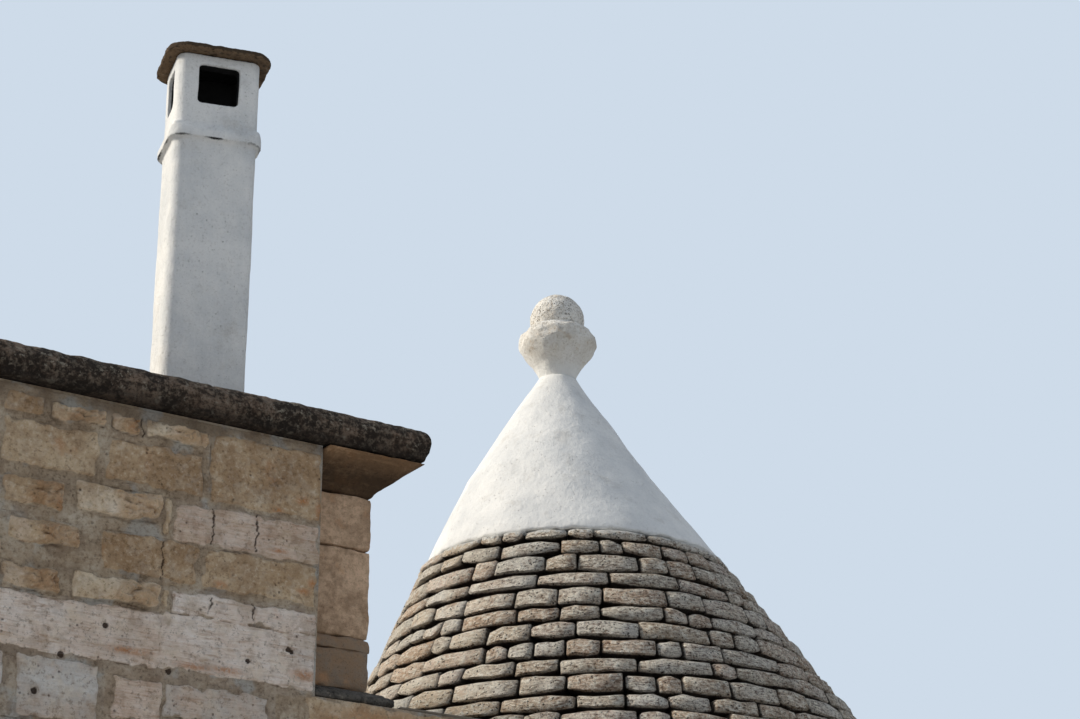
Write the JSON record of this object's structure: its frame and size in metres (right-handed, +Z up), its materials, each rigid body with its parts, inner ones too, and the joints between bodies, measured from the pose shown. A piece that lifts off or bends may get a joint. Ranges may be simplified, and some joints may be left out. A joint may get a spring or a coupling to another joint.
{
  "type": "trullo house",
  "caption": "Small limestone trullo: a square cell under a leaning corbelled cone with limewashed tip and ball pinnacle, beside a flat-roofed room with dark coping and plastered chimney.",
  "frame": {"origin": "middle of the house's bounding box at ground level", "axes": "+X along the facade towards the cone, +Z up, the facade looks towards -Y"},
  "size_m": [7.6477, 3.9354, 5.559],
  "materials": {
    "wall_limestone": "rough-dressed ashlar with flush mortar",
    "inner_masonry": "rubble and corbelled limestone",
    "pier_stone": "large weathered blocks",
    "weathering_stone": "grey weathered slab",
    "dressed_stone": "smooth dressed limestone",
    "paving_stone": "worn slabs",
    "roof_stone": "pitted grey-tan field stone",
    "limewash": "brushed limewash",
    "pinnacle_stone": "rough speckled limestone",
    "cornice_stone": "brown moulded stone",
    "coping_stone": "dark lichen-covered stone",
    "chimney_plaster": "limewashed plaster",
    "chimney_slab_stone": "lichen-darkened slab",
    "window_wood": "weathered oiled wood",
    "window_glass": "clear"
  },
  "bodies": {
    "root": {"cell_front_wall_left": "wall_limestone", "cell_front_wall_right": "wall_limestone", "cell_front_wall_over": "wall_limestone", "cell_right_wall": "wall_limestone", "cell_back_wall": "wall_limestone", "block_front_wall": "wall_limestone", "block_left_wall": "wall_limestone", "block_back_wall": "wall_limestone", "parapet_front": "wall_limestone", "parapet_left": "wall_limestone", "parapet_back": "wall_limestone", "parapet_right": "wall_limestone", "spine_wall_front": "inner_masonry", "spine_wall_back": "inner_masonry", "spine_wall_over": "inner_masonry", "dome_lower": "inner_masonry", "dome_middle": "inner_masonry", "dome_upper": "inner_masonry", "dome_shoulder": "inner_masonry", "dome_neck": "inner_masonry", "dome_top": "inner_masonry", "dome_capstone": "inner_masonry", "block_vault": "inner_masonry", "roof_core": "inner_masonry", "corner_piers": "pier_stone", "weathering_slabs": "weathering_stone", "door_jambs": "dressed_stone", "door_arch": "dressed_stone", "passage_arch": "dressed_stone", "window_sills": "dressed_stone", "cell_roof_slabs": "paving_stone", "roof_paving": "paving_stone", "stone_floor": "paving_stone", "door_threshold": "paving_stone", "roof_courses_lower": "roof_stone", "roof_courses_middle": "roof_stone", "roof_courses_upper": "roof_stone", "plaster_cap": "limewash", "pinnacle_cup": "pinnacle_stone", "pinnacle_ball": "pinnacle_stone", "cornices": "cornice_stone", "coping_front": "coping_stone", "coping_right": "coping_stone", "coping_back": "coping_stone", "coping_left": "coping_stone", "chimney_shaft": "chimney_plaster", "chimney_collar": "chimney_plaster", "chimney_head": "chimney_plaster", "chimney_slab": "chimney_slab_stone", "window_frames": "window_wood", "window_glass": "window_glass"}
  },
  "joints": []
}
